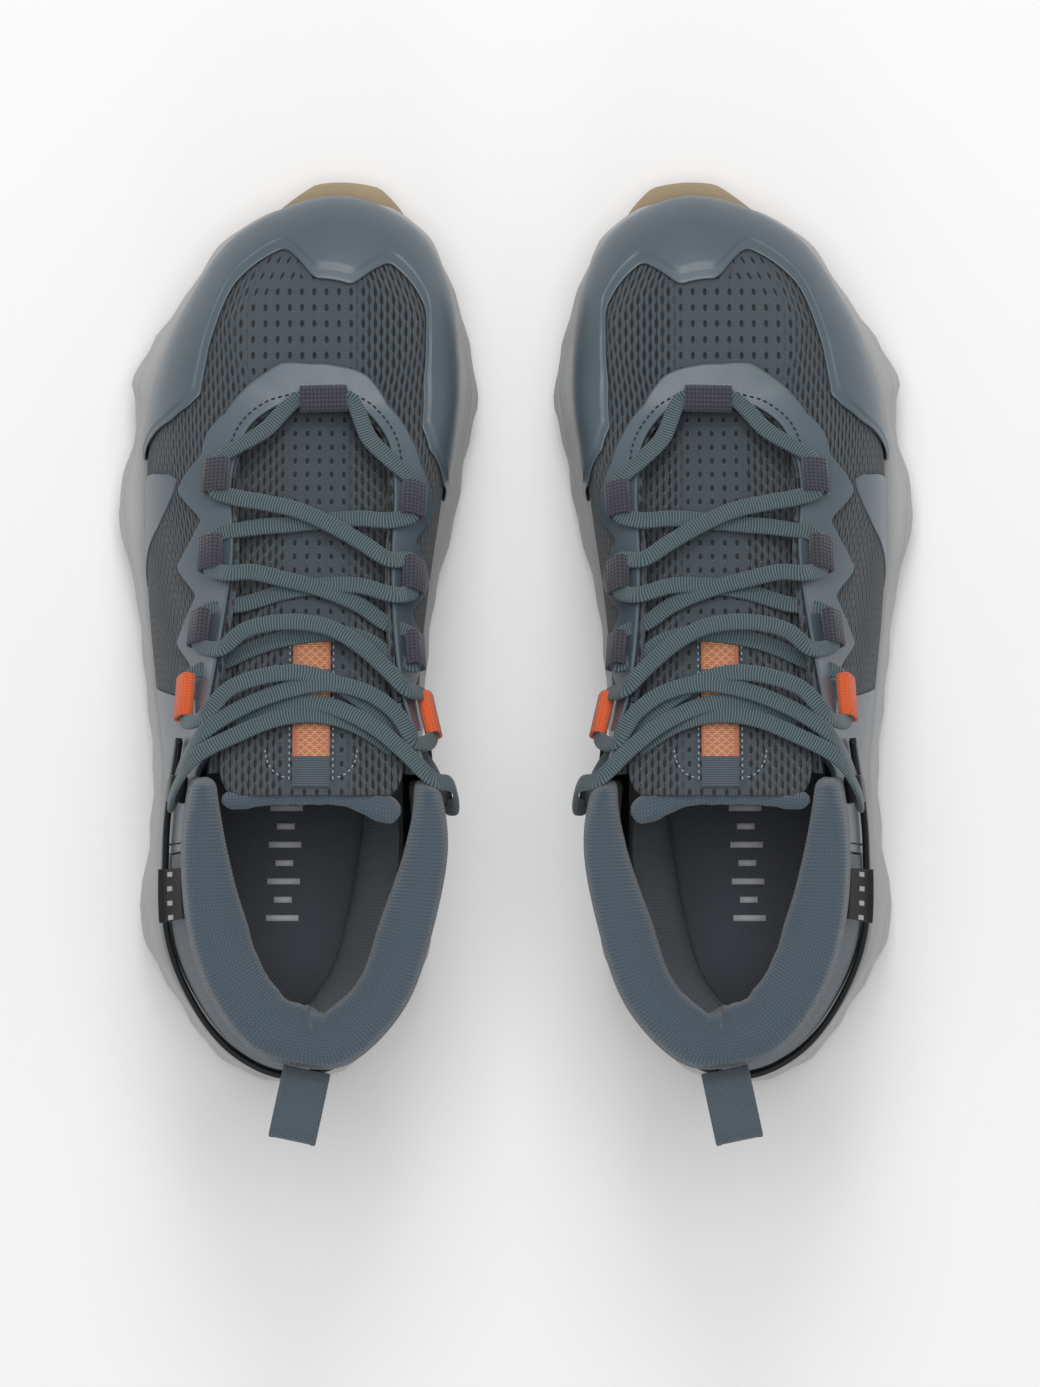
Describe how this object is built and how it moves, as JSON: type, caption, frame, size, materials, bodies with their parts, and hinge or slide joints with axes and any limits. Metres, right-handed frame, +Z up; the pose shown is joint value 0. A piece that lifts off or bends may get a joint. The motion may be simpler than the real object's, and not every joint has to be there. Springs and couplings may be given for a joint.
{
  "type": "hiking boots",
  "caption": "Pair of mid-height hiking boots with a lugged sole, mesh and overlay upper, padded collar and tongue, and a laced throat.",
  "frame": {"origin": "on the floor under the middle of the pair's box", "axes": "+X from the left boot to the right boot, +Y towards the toes, +Z up"},
  "size_m": [0.2698, 0.3244, 0.1545],
  "materials": {
    "outsole_rubber": "matt tan rubber",
    "midsole_foam": "light grey moulded foam",
    "lasting_board": "stiff non-woven board",
    "insole_fabric": "dark twill over foam",
    "heel_counter": "moulded stiffener",
    "engineered_mesh": "knit mesh with rows of holes",
    "smooth_overlay": "smooth satin welded film",
    "woven_fabric": "woven fabric",
    "knit_lining": "padded knit",
    "strip_webbing": "woven strip with orange sections",
    "loop_webbing": "ribbed webbing",
    "strap_webbing": "orange webbing",
    "pull_webbing": "wide woven webbing",
    "lace": "flat ribbed lace",
    "dark_plastic": "satin black plastic",
    "tag": "black woven tag"
  },
  "bodies": {
    "boots": {"left_outsole": "outsole_rubber", "left_midsole": "midsole_foam", "left_lasting_board": "lasting_board", "left_insole": "insole_fabric", "left_heel_counter": "heel_counter", "left_vamp": "engineered_mesh", "left_lateral_quarter": "smooth_overlay", "left_medial_quarter": "smooth_overlay", "left_heel_panel": "woven_fabric", "left_toe_cap": "smooth_overlay", "left_eyestay": "smooth_overlay", "left_collar": "knit_lining", "left_front_lace_loop": "loop_webbing", "left_lace_loop_lateral_1": "loop_webbing", "left_lace_loop_lateral_2": "loop_webbing", "left_lace_loop_lateral_3": "loop_webbing", "left_lace_loop_medial_1": "loop_webbing", "left_lace_loop_medial_2": "loop_webbing", "left_lace_loop_medial_3": "loop_webbing", "left_heel_strap_loop_lateral": "strap_webbing", "left_heel_strap_loop_medial": "strap_webbing", "left_top_hook_lateral": "dark_plastic", "left_top_hook_medial": "dark_plastic", "left_lace": "lace", "left_heel_cradle": "dark_plastic", "left_side_tag": "tag", "right_outsole": "outsole_rubber", "right_midsole": "midsole_foam", "right_lasting_board": "lasting_board", "right_insole": "insole_fabric", "right_heel_counter": "heel_counter", "right_vamp": "engineered_mesh", "right_lateral_quarter": "smooth_overlay", "right_medial_quarter": "smooth_overlay", "right_heel_panel": "woven_fabric", "right_toe_cap": "smooth_overlay", "right_eyestay": "smooth_overlay", "right_collar": "knit_lining", "right_front_lace_loop": "loop_webbing", "right_lace_loop_lateral_1": "loop_webbing", "right_lace_loop_lateral_2": "loop_webbing", "right_lace_loop_lateral_3": "loop_webbing", "right_lace_loop_medial_1": "loop_webbing", "right_lace_loop_medial_2": "loop_webbing", "right_lace_loop_medial_3": "loop_webbing", "right_heel_strap_loop_lateral": "strap_webbing", "right_heel_strap_loop_medial": "strap_webbing", "right_top_hook_lateral": "dark_plastic", "right_top_hook_medial": "dark_plastic", "right_lace": "lace", "right_heel_cradle": "dark_plastic", "right_side_tag": "tag"},
    "left_tongue": {"left_tongue": "engineered_mesh", "left_tongue_strip": "strip_webbing"},
    "left_pull_loop": {"left_pull_loop": "pull_webbing"},
    "right_tongue": {"right_tongue": "engineered_mesh", "right_tongue_strip": "strip_webbing"},
    "right_pull_loop": {"right_pull_loop": "pull_webbing"}
  },
  "joints": [
    {"name": "left_tongue_hinge", "type": "hinge", "parent": "boots", "child": "left_tongue", "pos_m": [-0.06807, 0.09473, 0.061], "axis": [1, 0, 0], "range_deg": [0, 8], "stiffness_Nm_per_rad": 0.8, "springref_deg": -5.73},
    {"name": "left_pull_loop_hinge", "type": "hinge", "parent": "boots", "child": "left_pull_loop", "pos_m": [-0.06957, -0.13627, 0.1278], "axis": [1, 0, 0], "range_deg": [-30, 10], "stiffness_Nm_per_rad": 0.05},
    {"name": "right_tongue_hinge", "type": "hinge", "parent": "boots", "child": "right_tongue", "pos_m": [0.06807, 0.09473, 0.061], "axis": [1, 0, 0], "range_deg": [0, 8], "stiffness_Nm_per_rad": 0.8, "springref_deg": -5.73},
    {"name": "right_pull_loop_hinge", "type": "hinge", "parent": "boots", "child": "right_pull_loop", "pos_m": [0.06957, -0.13627, 0.1278], "axis": [1, 0, 0], "range_deg": [-30, 10], "stiffness_Nm_per_rad": 0.05}
  ]
}
